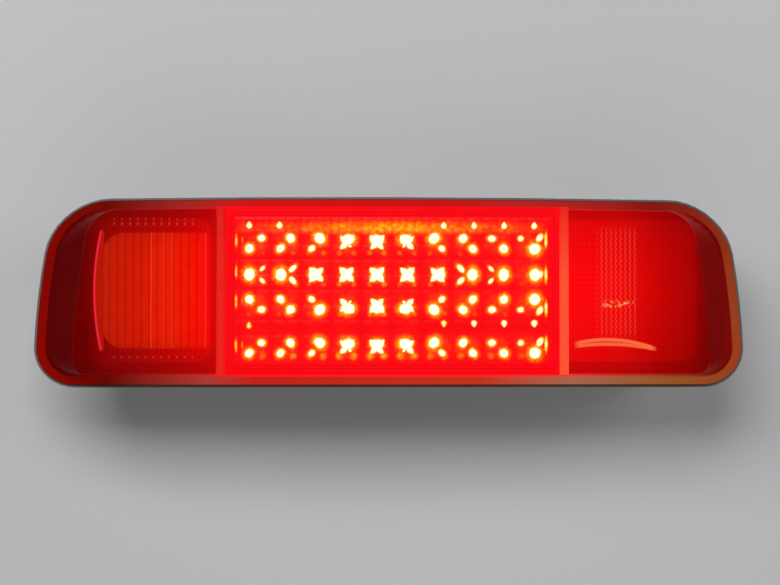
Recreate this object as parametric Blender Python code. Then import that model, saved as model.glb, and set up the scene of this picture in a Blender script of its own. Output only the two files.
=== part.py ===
"""A three-chamber vehicle brake lamp with a lit centre panel of light-emitting diodes.

Metres, +Z up. The lens faces -Y, and the origin is the middle of the mounting face, which lies
against the vehicle. A "depth" below is the distance in front of that face, so y is minus the depth.
Outlines are lists of (x, z) points, and most pieces are lofted through a few outlines.
"""

import math

import bmesh
import bpy

# Outline of the lamp, seen from the front
HALF_WIDTH = 0.1547  # at mid height
HALF_HEIGHT = 0.0420
SIDE_TAPER = 0.118  # how much the half width grows for each metre further down
SIDE_CROWN = 0.0029  # how far the ends curve in at the top and bottom
TOP_CROWN = 0.0010
TOP_RADIUS = 0.024
BOTTOM_RADIUS = 0.018
LEAST_RADIUS = 0.004

# Depths and walls
GAP = 0.0003  # between pieces that touch
PAD_THICKNESS = 0.0030
HOUSING_DEPTH = 0.0350
HOUSING_WALL = 0.0025
LENS_HEIGHT = 0.0200  # from the housing's rim to the lens face
LENS_WALL = 0.0024
CENTRE_RAISE = 0.0050  # the centre lens stands this far off the lens face
STRIP_RAISE = 0.0022

# Housing
REAR_SIDE_INSET = 0.0140
REAR_EDGE_INSET = 0.0080
REAR_CHAMFER = 0.0015
RIM_LIP = 0.0009
GROOVE_WIDTH = 0.0040
GROOVE_DEPTH = 0.0035
INNER_LIP = 0.0020
INNER_LIP_DROP = 0.0006
FLANGE_THICKNESS = 0.0050
FLANGE_FLARE = 0.0030

# Lens
SEAL_THICKNESS = 0.0012
LENS_RIM_RISE = 0.0010
FACE_SIDE_INSET = 0.0190
FACE_EDGE_INSET = 0.0060
FACE_ROUND = 0.0018
SKIRT = 0.0035  # what is left of the lens wall below the centre opening

# Centre section
WINDOW_HALF_WIDTH = 0.0674
LED_COLUMNS = 10
LED_ROWS = 4
FRAME_WALL = 0.0017
DIVIDER_SLANT = 0.0233  # the dividers lean out by this for each metre further down
STRIP_WIDTH = 0.0037
PARTITION_THICKNESS = 0.0020
CENTRE_EDGE_INSET = 0.0058

# Board and diodes
BOARD_DROP = 0.0083  # from the housing's rim down to the back of the board
BOARD_THICKNESS = 0.0016
CARRIER_THICKNESS = 0.0010
CARRIER_HALF_HEIGHT = 0.0050
LED_RADIUS = 0.0025
LED_FLANGE_RADIUS = 0.0029
LED_FLANGE_HEIGHT = 0.0010
LED_HEIGHT = 0.0086
BOSS_RADIUS = 0.0040
SCREW_RADIUS = 0.0013
SCREW_HEAD_RADIUS = 0.0025
SCREW_HEAD_HEIGHT = 0.0018
SCREW_REACH = 0.0080
RESISTOR_SIZE = (0.0063, 0.0006, 0.0032)
DIODE_SIZE = (0.0054, 0.0023, 0.0036)

# Side windows
FLUTE_PITCH = 0.00337
FLUTE_RADIUS = 0.0015
WINDOW_RISE = 0.0015
WINDOW_SIDE_INSET = 0.0303
WINDOW_EDGE_INSET = 0.0174
REFLEX_SIDE_INSET = 0.0250
REFLEX_EDGE_INSET = 0.0115
REFLEX_THICKNESS = 0.0020
RING_THICKNESS = 0.0015
BOND_LEDGE = 0.0020

# Bulbs and their twist-lock holders
HOLDER_RADIUS = 0.0110
LUG_REACH = 0.0022
LUG_HALF_ANGLE = 15
NOTCH_HALF_ANGLE = 20
RELEASE_ANGLE = 45
LUG_THICKNESS = 0.0024
HOLDER_FLANGE_REACH = 0.0040
HOLDER_FLANGE_THICKNESS = 0.0022
HOLDER_NECK_RADIUS = 0.0090
HOLDER_NECK_REACH = 0.0040
HOLDER_SEAL_THICKNESS = 0.0020
GRIP_SIZE = (0.0240, 0.0115, 0.0070)
BULB_RADIUS = 0.0073
BULB_LENGTH = 0.0250
BULB_BASE = (0.0120, 0.0090, 0.0032)
REFLECTOR_WALL = 0.0015
REFLECTOR_REAR = 0.0125
REFLECTOR_DROP = 0.0023  # from the housing's rim down to the front of a reflector

# Rear fittings
STUD_RADIUS = 0.0030
STUD_REACH = 0.0180
STUD_HEAD_RADIUS = 0.0050
STUD_HEAD_HEIGHT = 0.0030
STUD_EDGE = 0.0105  # from the housing's inner wall to a stud
CONNECTOR_X = 0.0450
CONNECTOR_INSIDE = (0.0200, 0.0116)
CONNECTOR_WALL = 0.0020
CONNECTOR_FLANGE = 0.0030
CONNECTOR_REACH = 0.0120
BLADE_SIZE = (0.0028, 0.0008)
BLADE_PITCH = 0.0050
BLADE_REACH = 0.0090
VENT_X = -0.0450
VENT_RADIUS = 0.0050
VENT_STEM_RADIUS = 0.0020

# Depths that follow from the sizes above
REAR = PAD_THICKNESS + GAP
FLOOR = REAR + HOUSING_WALL
RIM = REAR + HOUSING_DEPTH
FACE = RIM + LENS_HEIGHT
UNDER_FACE = FACE - LENS_WALL - GAP
BOARD_DEPTH = RIM - BOARD_DROP
BOARD_FRONT = BOARD_DEPTH + BOARD_THICKNESS
REFLECTOR_FRONT = RIM - REFLECTOR_DROP
CARRIER_FRONT = BOARD_FRONT + GAP + CARRIER_THICKNESS

# Places that follow from the sizes above
CENTRE_HALF_HEIGHT = HALF_HEIGHT - CENTRE_EDGE_INSET
CENTRE_LEAN = DIVIDER_SLANT * CENTRE_HALF_HEIGHT
FRAME_HALF_WIDTH = WINDOW_HALF_WIDTH + FRAME_WALL
CENTRE_HALF_WIDTH = FRAME_HALF_WIDTH + GAP + LENS_WALL + CENTRE_LEAN
STRIP_INSIDE = CENTRE_HALF_WIDTH + GAP
STRIP_OUTSIDE = STRIP_INSIDE + STRIP_WIDTH
PARTITION_X = (STRIP_INSIDE + STRIP_OUTSIDE) / 2
FRAME_HALF_HEIGHT = CENTRE_HALF_HEIGHT - LENS_WALL - GAP
WINDOW_HALF_HEIGHT = FRAME_HALF_HEIGHT - FRAME_WALL - GAP
COLUMN_PITCH = 2 * WINDOW_HALF_WIDTH / LED_COLUMNS
ROW_PITCH = 2 * WINDOW_HALF_HEIGHT / LED_ROWS
INNER_SIDE_INSET = REAR_SIDE_INSET + HOUSING_WALL
INNER_EDGE_INSET = REAR_EDGE_INSET + HOUSING_WALL
INNER_HALF_WIDTH = HALF_WIDTH - INNER_SIDE_INSET
INNER_HALF_HEIGHT = HALF_HEIGHT - INNER_EDGE_INSET
CHAMBER_START = STRIP_OUTSIDE + 2 * GAP + CENTRE_LEAN
BULB_X = (CHAMBER_START + INNER_HALF_WIDTH) / 2 - 0.0045
STUD_X = INNER_HALF_WIDTH - STUD_EDGE
STUD_Z = INNER_HALF_HEIGHT - STUD_EDGE
SCREW_X = 4 * COLUMN_PITCH
SCREW_Z = ROW_PITCH
RESISTOR_Z = 1.7 * ROW_PITCH
REFLEX_REACH = HALF_WIDTH - REFLEX_SIDE_INSET
REFLEX_HALF_HEIGHT = HALF_HEIGHT - REFLEX_EDGE_INSET

ARC_STEPS = 9
SIDE_STEPS = 4
EDGE_STEPS = 4
ROUND = 40  # sides of a large round piece
SMALL_ROUND = 16

for old in list(bpy.data.objects):
    bpy.data.objects.remove(old, do_unlink=True)


# Materials


def material(name, colour, roughness, metallic=0.0, glow=0.0):
    made = bpy.data.materials.new(name)
    made.use_nodes = True
    shader = made.node_tree.nodes["Principled BSDF"]
    shader.inputs["Base Color"].default_value = (*colour, 1.0)
    shader.inputs["Roughness"].default_value = roughness
    shader.inputs["Metallic"].default_value = metallic
    shader.inputs["Emission Color"].default_value = (*colour, 1.0)
    shader.inputs["Emission Strength"].default_value = glow
    made.diffuse_color = (*colour, 1.0)
    return made


RED_LENS = material("red_lens", (0.60, 0.004, 0.004), 0.08, glow=0.3)
CLEAR_RED = material("clear_red_window", (0.75, 0.03, 0.006), 0.10, glow=0.4)
REFLEX_RED = material("reflex_red", (0.55, 0.003, 0.003), 0.12, glow=0.2)
PALE_RED = material("pale_red_strip", (0.85, 0.05, 0.03), 0.20, glow=0.3)
BLACK_PLASTIC = material("black_housing", (0.025, 0.025, 0.027), 0.50)
WHITE_PLASTIC = material("white_frame", (0.75, 0.72, 0.68), 0.45)
MIRRORED = material("metallised", (0.80, 0.80, 0.82), 0.15, metallic=1.0)
FOAM = material("foam_pad", (0.05, 0.05, 0.05), 0.95)
RUBBER = material("rubber_seal", (0.03, 0.03, 0.03), 0.85)
BOARD_GREEN = material("circuit_board", (0.02, 0.14, 0.05), 0.45)
LED_GLOW = material("led_lit", (1.0, 0.75, 0.25), 0.20, glow=4.0)
CHIP_BLACK = material("chip_black", (0.04, 0.04, 0.045), 0.55)
STEEL = material("zinc_steel", (0.62, 0.62, 0.60), 0.35, metallic=1.0)
TIN = material("tinned_copper", (0.78, 0.72, 0.60), 0.30, metallic=1.0)
GREY_PLASTIC = material("grey_holder", (0.22, 0.22, 0.23), 0.55)
GLASS = material("bulb_glass", (0.90, 0.88, 0.82), 0.05)


# Outlines


def half_width(z, inset):
    rise = z / HALF_HEIGHT
    return HALF_WIDTH - SIDE_TAPER * z - SIDE_CROWN * rise**2 - inset


def lamp_outline(side_inset, edge_inset):
    """The lamp's outline, moved in at its ends by side_inset and above and below by edge_inset."""
    shrink = (side_inset + edge_inset) / 2
    high_radius = max(TOP_RADIUS - shrink, LEAST_RADIUS)
    low_radius = max(BOTTOM_RADIUS - shrink, LEAST_RADIUS)
    low = edge_inset - HALF_HEIGHT
    high = HALF_HEIGHT - edge_inset - TOP_CROWN
    right = []
    for step in range(ARC_STEPS + 1):
        turn = math.radians(90 * step / ARC_STEPS)
        z = low + low_radius * (1 - math.cos(turn))
        right.append((half_width(z, side_inset) - low_radius * (1 - math.sin(turn)), z))
    for step in range(1, SIDE_STEPS):
        z = low + low_radius + (high - high_radius - low - low_radius) * step / SIDE_STEPS
        right.append((half_width(z, side_inset), z))
    for step in range(ARC_STEPS + 1):
        turn = math.radians(90 * step / ARC_STEPS)
        z = high - high_radius * (1 - math.sin(turn))
        right.append((half_width(z, side_inset) - high_radius * (1 - math.cos(turn)), z))
    left = [(-x, z) for x, z in reversed(right)]
    end = right[-1][0]
    across = [1 - 2 * step / EDGE_STEPS for step in range(1, EDGE_STEPS)]
    top = [(end * share, high + TOP_CROWN * (1 - share**2)) for share in across]
    bottom = [(-right[0][0] * share, low) for share in across]
    return right + top + left + bottom


def rounded_box(x_low, x_high, z_low, z_high, low_x_radius, high_x_radius, steps=6):
    """A rectangle with one corner radius at its low-x end and another at its high-x end."""
    corners = [
        (x_high, z_low, high_x_radius, -1, 1, -90),
        (x_high, z_high, high_x_radius, -1, -1, 0),
        (x_low, z_high, low_x_radius, 1, -1, 90),
        (x_low, z_low, low_x_radius, 1, 1, 180),
    ]
    points = []
    for x, z, radius, x_way, z_way, start in corners:
        for step in range(steps + 1):
            turn = math.radians(start + 90 * step / steps)
            points.append(
                (
                    x + x_way * radius + radius * math.cos(turn),
                    z + z_way * radius + radius * math.sin(turn),
                )
            )
    return points


def plain_box(half_x, half_z):
    return [(half_x, -half_z), (half_x, half_z), (-half_x, half_z), (-half_x, -half_z)]


def leaning(x, z):
    """x moved along the dividers' lean at height z."""
    return x - math.copysign(DIVIDER_SLANT * z, x)


def centre_outline(inset):
    x, z = CENTRE_HALF_WIDTH - inset, CENTRE_HALF_HEIGHT - inset
    return [(leaning(x, -z), -z), (leaning(x, z), z), (leaning(-x, z), z), (leaning(-x, -z), -z)]


def circle(radius, sides=ROUND):
    turns = [math.tau * step / sides for step in range(sides)]
    return [(radius * math.cos(turn), radius * math.sin(turn)) for turn in turns]


def lugged_circle(radius, lug_radius, lug_half_angle, first_lug):
    """A circle with three equal lugs, the first at first_lug degrees."""
    points = []
    for degree in range(0, 360, 5):
        away = (degree - first_lug + 60) % 120 - 60
        reach = lug_radius if abs(away) <= lug_half_angle else radius
        turn = math.radians(degree)
        points.append((reach * math.cos(turn), reach * math.sin(turn)))
    return points


def moved(points, x, z=0.0):
    return [(x + px, z + pz) for px, pz in points]


def mirrored(points, side):
    return [(side * x, z) for x, z in points]


# Solids


def solid(name, vertices, faces, finish, smooth_angle=35):
    mesh = bpy.data.meshes.new(name)
    mesh.from_pydata(vertices, [], faces)
    shaped = bmesh.new()
    shaped.from_mesh(mesh)
    bmesh.ops.remove_doubles(shaped, verts=shaped.verts, dist=1e-7)
    bmesh.ops.recalc_face_normals(shaped, faces=shaped.faces)
    shaped.to_mesh(mesh)
    shaped.free()
    mesh.materials.append(finish)
    mesh.shade_smooth()
    mesh.set_sharp_from_angle(angle=math.radians(smooth_angle))
    made = bpy.data.objects.new(name, mesh)
    bpy.context.scene.collection.objects.link(made)
    return made


def loft(name, stations, finish):
    """One closed solid through outlines of equal length, each with its depth, capped at both ends."""
    count = len(stations[0][0])
    vertices = [(x, -depth, z) for points, depth in stations for x, z in points]
    faces = [list(range(count))]
    for ring in range(len(stations) - 1):
        near, far = ring * count, (ring + 1) * count
        for here in range(count):
            there = (here + 1) % count
            faces.append([near + here, near + there, far + there, far + here])
    last = (len(stations) - 1) * count
    faces.append([last + index for index in reversed(range(count))])
    return solid(name, vertices, faces, finish)


def plate(name, points, low_depth, high_depth, finish):
    return loft(name, [(points, low_depth), (points, high_depth)], finish)


def turned(name, profile, finish, sides=ROUND):
    return loft(name, [(circle(radius, sides), depth) for radius, depth in profile], finish)


def combine(target, tool, operation="DIFFERENCE"):
    """Cuts tool from target, or joins it on, and keeps the tool as a hidden guide."""
    tool.hide_render = True
    tool.display_type = "WIRE"
    modifier = target.modifiers.new(tool.name, "BOOLEAN")
    modifier.operation = operation
    modifier.solver = "EXACT"
    modifier.object = tool
    return target


def drill(target, x, z, radius, low_depth, high_depth, sides=SMALL_ROUND):
    hole = moved(circle(radius, sides), x, z)
    name = f"cut_{target.name}_{len(target.modifiers)}"
    return combine(target, plate(name, hole, low_depth, high_depth, target.data.materials[0]))


def place(made, x, y=0.0, z=0.0):
    made.location = (x, y, z)
    return made


def attach(child, parent):
    """Parents a piece whose mesh is drawn about the parent's own origin."""
    child.parent = parent
    return child


SIDES = (("left", -1), ("right", 1))


def side_points(offset_x, offset_z):
    """The four places at plus and minus offset_x and offset_z, numbered from the top left."""
    return [(-offset_x, offset_z), (offset_x, offset_z), (-offset_x, -offset_z), (offset_x, -offset_z)]


# The housing and the pad behind it


def connector_hole():
    half_x = CONNECTOR_INSIDE[0] / 2 - CONNECTOR_WALL / 2
    half_z = CONNECTOR_INSIDE[1] / 2 - CONNECTOR_WALL
    return moved(plain_box(half_x, half_z), CONNECTOR_X)


def release_opening(side):
    radius = HOLDER_RADIUS + GAP
    reach = HOLDER_RADIUS + LUG_REACH + GAP
    opening = lugged_circle(radius, reach, NOTCH_HALF_ANGLE, 90 - RELEASE_ANGLE)
    return moved(opening, side * BULB_X)


def housing():
    inside = RIM_LIP + GROOVE_WIDTH
    lip = inside + INNER_LIP
    insets = [
        (REAR_SIDE_INSET + REAR_CHAMFER, REAR_EDGE_INSET + REAR_CHAMFER, REAR),
        (REAR_SIDE_INSET, REAR_EDGE_INSET, REAR + REAR_CHAMFER),
        (FLANGE_FLARE, FLANGE_FLARE, RIM - FLANGE_THICKNESS - FLANGE_FLARE),
        (0.0, 0.0, RIM - FLANGE_THICKNESS),
        (0.0, 0.0, RIM),
        (RIM_LIP, RIM_LIP, RIM),
        (RIM_LIP, RIM_LIP, RIM - GROOVE_DEPTH),
        (inside, inside, RIM - GROOVE_DEPTH),
        (inside, inside, RIM - INNER_LIP_DROP),
        (lip, lip, RIM - INNER_LIP_DROP),
        (INNER_SIDE_INSET, INNER_EDGE_INSET, FLOOR),
    ]
    stations = [(lamp_outline(side, edge), depth) for side, edge, depth in insets]
    shell = loft("rear_housing", stations, BLACK_PLASTIC)
    for index, (x, z) in enumerate(side_points(SCREW_X, SCREW_Z)):
        ring = moved(circle(BOSS_RADIUS, SMALL_ROUND), x, z)
        boss = plate(f"boss_{index}", ring, FLOOR - HOUSING_WALL / 2, BOARD_DEPTH - GAP, BLACK_PLASTIC)
        combine(shell, boss, "UNION")
        bottom = BOARD_DEPTH - SCREW_REACH - 4 * GAP
        drill(shell, x, z, SCREW_RADIUS + GAP, bottom, BOARD_DEPTH + GAP)
    for name, side in SIDES:
        opening = plate(f"opening_{name}", release_opening(side), 0.0, FLOOR + GAP, BLACK_PLASTIC)
        combine(shell, opening)
    for x, z in side_points(STUD_X, STUD_Z):
        drill(shell, x, z, STUD_RADIUS + GAP, 0.0, FLOOR + GAP)
    combine(shell, plate("connector_way", connector_hole(), 0.0, FLOOR + GAP, BLACK_PLASTIC))
    drill(shell, VENT_X, 0.0, VENT_STEM_RADIUS + GAP, 0.0, FLOOR + GAP)


def mounting_pad():
    outline = lamp_outline(REAR_SIDE_INSET + REAR_CHAMFER, REAR_EDGE_INSET + REAR_CHAMFER)
    pad = plate("mounting_pad", outline, 0.0, PAD_THICKNESS, FOAM)
    flange = HOLDER_RADIUS + HOLDER_FLANGE_REACH
    for name, side in SIDES:
        drill(pad, side * BULB_X, 0.0, flange + 3 * GAP, -GAP, REAR, ROUND)
    for x, z in side_points(STUD_X, STUD_Z):
        drill(pad, x, z, STUD_RADIUS + 2 * GAP, -GAP, REAR)
    margin = CONNECTOR_WALL + CONNECTOR_FLANGE + 3 * GAP
    half_x, half_z = CONNECTOR_INSIDE[0] / 2 + margin, CONNECTOR_INSIDE[1] / 2 + margin
    window = moved(plain_box(half_x, half_z), CONNECTOR_X)
    combine(pad, plate("pad_window", window, -GAP, REAR, FOAM))
    drill(pad, VENT_X, 0.0, VENT_RADIUS + 3 * GAP, -GAP, REAR)


# The lens and its seal


def lens_seal():
    outer, inner = RIM_LIP + GAP, RIM_LIP + GROOVE_WIDTH - GAP
    low = RIM - GROOVE_DEPTH + GAP
    seal = plate("lens_seal", lamp_outline(outer, outer), low, low + SEAL_THICKNESS, RUBBER)
    hole = plate("seal_hole", lamp_outline(inner, inner), low - GAP, RIM, RUBBER)
    combine(seal, hole)


def centre_opening():
    grown = STRIP_WIDTH + 2 * GAP
    x, z = CENTRE_HALF_WIDTH + grown, CENTRE_HALF_HEIGHT + GAP
    return [(leaning(x, -z), -z), (leaning(x, z), z), (leaning(-x, z), z), (leaning(-x, -z), -z)]


def fluted_outline(grown):
    """The left window's outline, made larger by grown; its right side stops at the divider."""
    low_x = WINDOW_SIDE_INSET - HALF_WIDTH - grown
    high_x = -CHAMBER_START - LENS_WALL / 2 + min(grown, LENS_WALL / 2 - GAP)
    half_z = HALF_HEIGHT - WINDOW_EDGE_INSET + grown
    return rounded_box(low_x, high_x, -half_z, half_z, 0.0085 + grown, 0.0025)


def outer_lens():
    flange_out, flange_in = RIM_LIP + GAP, RIM_LIP + GROOVE_WIDTH - GAP
    flange_low = RIM - GROOVE_DEPTH + SEAL_THICKNESS + 2 * GAP
    lip_top = RIM - INNER_LIP_DROP + GAP
    foot = flange_in + LENS_WALL
    side, edge = FACE_SIDE_INSET, FACE_EDGE_INSET
    third = FACE_ROUND / 3
    insets = [
        (side + FACE_ROUND, edge + FACE_ROUND, FACE),
        (side + third, edge + third, FACE - third),
        (side, edge, FACE - FACE_ROUND),
        (flange_in, flange_in, RIM + LENS_RIM_RISE),
        (flange_out, flange_out, RIM + LENS_RIM_RISE),
        (flange_out, flange_out, flange_low),
        (flange_in, flange_in, flange_low),
        (flange_in, flange_in, lip_top),
        (foot, foot, lip_top),
        (side + LENS_WALL, edge + LENS_WALL, FACE - LENS_WALL - FACE_ROUND / 2),
        (side + LENS_WALL + third * 2, edge + LENS_WALL + third * 2, FACE - LENS_WALL),
    ]
    stations = [(lamp_outline(*inset[:2]), inset[2]) for inset in insets]
    lens = loft("outer_lens", stations, RED_LENS)
    combine(lens, plate("centre_way", centre_opening(), RIM + SKIRT, FACE + LENS_WALL, RED_LENS))
    way = plate("window_way", fluted_outline(GAP), UNDER_FACE - GAP, FACE + LENS_WALL, RED_LENS)
    combine(lens, way)


def centre_lens():
    """A cap with a stepped frame round its face, open towards the diodes."""
    low, front = RIM + SKIRT + GAP, FACE + CENTRE_RAISE
    step = CENTRE_RAISE * 0.3
    inside = front - LENS_WALL
    stations = [
        (centre_outline(0.0042), front),
        (centre_outline(0.0028), front - 0.0005),
        (centre_outline(0.0028), front - step),
        (centre_outline(0.0012), front - step - 0.0003),
        (centre_outline(0.0012), front - 2 * step),
        (centre_outline(0.0), front - 2 * step - 0.0003),
        (centre_outline(0.0), low),
        (centre_outline(LENS_WALL), low),
        (centre_outline(LENS_WALL), FACE - 0.0010),
        (centre_outline(LENS_WALL + 0.0030), inside),
    ]
    loft("centre_lens", stations, RED_LENS)


def divider_strip(name, side):
    """A pale strip that closes the joint between the centre lens and a side of the outer lens."""
    half_z, bevel = CENTRE_HALF_HEIGHT, 0.0007

    def section(inset):
        inner, outer, z = STRIP_INSIDE + inset, STRIP_OUTSIDE - inset, half_z - inset
        corners = [(inner, -z), (outer, -z), (outer, z), (inner, z)]
        return mirrored([(leaning(x, height), height) for x, height in corners], side)

    low, front = RIM + SKIRT + GAP, FACE + STRIP_RAISE
    stations = [(section(0.0), low), (section(0.0), front - bevel), (section(bevel), front)]
    loft(f"divider_strip_{name}", stations, PALE_RED)


def partition(name, side):
    """A wall across the housing that keeps each chamber's light to itself."""
    floor_z = INNER_HALF_HEIGHT - TOP_CROWN - GAP
    rim_z = HALF_HEIGHT - RIM_LIP - GROOVE_WIDTH - INNER_LIP - TOP_CROWN - 3 * GAP
    front_z = rim_z - 2 * GAP
    half = PARTITION_THICKNESS / 2
    stations = []
    for half_z, depth in ((floor_z, FLOOR + GAP), (rim_z, RIM - INNER_LIP_DROP), (front_z, RIM + SKIRT)):
        stations.append((moved(plain_box(half, half_z), side * PARTITION_X), depth))
    loft(f"partition_{name}", stations, WHITE_PLASTIC)


# The side windows


def left_window():
    """The fluted window: a pillowed pad in the lens face, on a thin ledge bonded behind it."""
    window = loft(
        "fluted_window",
        [
            (fluted_outline(BOND_LEDGE), UNDER_FACE - RING_THICKNESS),
            (fluted_outline(BOND_LEDGE), UNDER_FACE),
            (fluted_outline(0.0), UNDER_FACE),
            (fluted_outline(0.0), FACE),
            (fluted_outline(-0.0010), FACE + WINDOW_RISE * 0.7),
            (fluted_outline(-0.0024), FACE + WINDOW_RISE),
        ],
        CLEAR_RED,
    )
    outline = fluted_outline(0.0)
    low_x, high_x = min(x for x, z in outline), max(x for x, z in outline)
    half_z = max(z for x, z in outline) - 2 * FLUTE_RADIUS
    count = int((high_x - low_x - FLUTE_PITCH) / FLUTE_PITCH)
    start = (low_x + high_x - (count - 1) * FLUTE_PITCH) / 2
    vertices, faces = [], []
    sides = 8
    middle = UNDER_FACE - RING_THICKNESS + GAP
    for index in range(count):
        x = start + index * FLUTE_PITCH
        first = len(vertices)
        for z in (-half_z, half_z):
            for px, py in circle(FLUTE_RADIUS, sides):
                vertices.append((x + px, -middle - py * 0.5, z))
        faces.append([first + step for step in range(sides)])
        faces.append([first + sides + step for step in reversed(range(sides))])
        for step in range(sides):
            following = (step + 1) % sides
            faces.append(
                [first + step, first + following, first + sides + following, first + sides + step]
            )
    combine(window, solid("flutes", vertices, faces, CLEAR_RED), "UNION")


def left_reflex_border():
    """A band of reflex cells behind the lens face, above, below and left of the fluted window."""
    half_z = REFLEX_HALF_HEIGHT
    near = -CHAMBER_START
    band = rounded_box(-REFLEX_REACH, near, -half_z, half_z, 0.014, 0.002)
    border = plate("reflex_border", band, UNDER_FACE - RING_THICKNESS, UNDER_FACE, REFLEX_RED)
    ledge = fluted_outline(BOND_LEDGE + GAP)
    way = [(x if x < near - 0.004 else x + 0.02, z) for x, z in ledge]
    combine(border, plate("border_way", way, UNDER_FACE - 0.004, FACE, REFLEX_RED))


def right_reflex():
    half_z = REFLEX_HALF_HEIGHT
    outline = rounded_box(CHAMBER_START, REFLEX_REACH, -half_z, half_z, 0.003, 0.013)
    plate("reflex_reflector", outline, UNDER_FACE - REFLEX_THICKNESS, UNDER_FACE, REFLEX_RED)


def reflector(name, side):
    """A metallised bowl behind a side window, with a hole for its bulb."""
    rear_half = HOLDER_RADIUS + HOLDER_FLANGE_REACH + 0.003
    front_low = CHAMBER_START
    front_high = HALF_WIDTH - RIM_LIP - GROOVE_WIDTH - INNER_LIP - 0.0075
    front_z = HALF_HEIGHT - RIM_LIP - GROOVE_WIDTH - INNER_LIP - 0.0031
    rear_low = max(BULB_X - rear_half, front_low + 2 * REFLECTOR_WALL)
    rear_high = BULB_X + rear_half

    def bowl(share, wall):
        """The bowl's outline at a share of its height, moved in by a wall's thickness."""
        spread = math.sqrt(share)
        x_low = rear_low + (front_low - rear_low) * spread + wall
        x_high = rear_high + (front_high - rear_high) * spread - wall
        half_z = rear_half + (front_z - rear_half) * spread - wall
        radius = 0.009 + 0.004 * spread - wall
        return mirrored(rounded_box(x_low, x_high, -half_z, half_z, radius, radius, 4), side)

    low, high = REFLECTOR_REAR, REFLECTOR_FRONT
    shares = (0.0, 0.15, 0.5, 1.0)
    stations = [(bowl(share, 0.0), low + (high - low) * share) for share in shares]
    inner_low = low + REFLECTOR_WALL
    for share in reversed(shares):
        depth = high if share == 1.0 else inner_low + (high - inner_low) * share
        stations.append((bowl(share, REFLECTOR_WALL), depth))
    made = loft(f"reflector_{name}", stations, MIRRORED)
    hole = HOLDER_RADIUS + LUG_REACH / 2
    drill(made, side * BULB_X, 0.0, hole, low - GAP, inner_low + GAP, 24)


# The centre panel


def circuit_board():
    half_x = FRAME_HALF_WIDTH - GAP
    board = plate(
        "circuit_board",
        plain_box(half_x, FRAME_HALF_HEIGHT - GAP),
        BOARD_DEPTH,
        BOARD_FRONT,
        BOARD_GREEN,
    )
    for x, z in side_points(SCREW_X, SCREW_Z):
        drill(board, x, z, SCREW_RADIUS + GAP, BOARD_DEPTH - GAP, BOARD_FRONT + GAP)


def led_frame():
    low, high = BOARD_FRONT + GAP, FACE - 0.0010
    outside = plain_box(FRAME_HALF_WIDTH, FRAME_HALF_HEIGHT)
    frame = plate("led_frame", outside, low, high, WHITE_PLASTIC)
    inside = plain_box(WINDOW_HALF_WIDTH, WINDOW_HALF_HEIGHT)
    combine(frame, plate("frame_way", inside, low - GAP, high + GAP, WHITE_PLASTIC))


def led_row(number, z):
    """Ten diodes on their carrier bar, one closed body."""
    low = BOARD_FRONT + GAP
    bar = plain_box(WINDOW_HALF_WIDTH - GAP, CARRIER_HALF_HEIGHT)
    row = plate(f"led_row_{number}", moved(bar, 0.0, z), low, CARRIER_FRONT, LED_GLOW)
    profile = [
        (LED_FLANGE_RADIUS, CARRIER_FRONT - CARRIER_THICKNESS / 2),
        (LED_FLANGE_RADIUS, CARRIER_FRONT + LED_FLANGE_HEIGHT),
        (LED_RADIUS, CARRIER_FRONT + LED_FLANGE_HEIGHT),
        (LED_RADIUS, CARRIER_FRONT + LED_HEIGHT - LED_RADIUS),
        (LED_RADIUS * 0.5, CARRIER_FRONT + LED_HEIGHT),
    ]
    sides = 8
    vertices, faces = [], []
    for column in range(LED_COLUMNS):
        x = (column - (LED_COLUMNS - 1) / 2) * COLUMN_PITCH
        first = len(vertices)
        for radius, depth in profile:
            vertices += [(px, -depth, pz) for px, pz in moved(circle(radius, sides), x, z)]
        faces.append([first + step for step in range(sides)])
        top = first + (len(profile) - 1) * sides
        faces.append([top + step for step in reversed(range(sides))])
        for ring in range(len(profile) - 1):
            near = first + ring * sides
            for step in range(sides):
                following = (step + 1) % sides
                faces.append(
                    [near + step, near + following, near + sides + following, near + sides + step]
                )
    combine(row, solid(f"diodes_{number}", vertices, faces, LED_GLOW), "UNION")


def board_screws():
    profile = [
        (SCREW_RADIUS, BOARD_DEPTH - SCREW_REACH),
        (SCREW_RADIUS, BOARD_FRONT + GAP),
        (SCREW_HEAD_RADIUS, BOARD_FRONT + GAP),
        (SCREW_HEAD_RADIUS, BOARD_FRONT + GAP + SCREW_HEAD_HEIGHT * 0.6),
        (SCREW_HEAD_RADIUS * 0.6, BOARD_FRONT + GAP + SCREW_HEAD_HEIGHT),
    ]
    for number, (x, z) in enumerate(side_points(SCREW_X, SCREW_Z), 1):
        place(turned(f"board_screw_{number}", profile, STEEL, 12), x, z=z)


def board_parts():
    """One ballast resistor for each column of diodes, and a diode against reversed leads."""
    high = BOARD_DEPTH - GAP
    width, thickness, height = RESISTOR_SIZE
    for column in range(LED_COLUMNS):
        x = (column - (LED_COLUMNS - 1) / 2) * COLUMN_PITCH
        box = moved(plain_box(width / 2, height / 2), x, RESISTOR_Z)
        plate(f"ballast_resistor_{column + 1}", box, high - thickness, high, CHIP_BLACK)
    width, thickness, height = DIODE_SIZE
    box = moved(plain_box(width / 2, height / 2), COLUMN_PITCH)
    plate("polarity_diode", box, high - thickness, high, CHIP_BLACK)


# Bulbs in their holders


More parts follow.
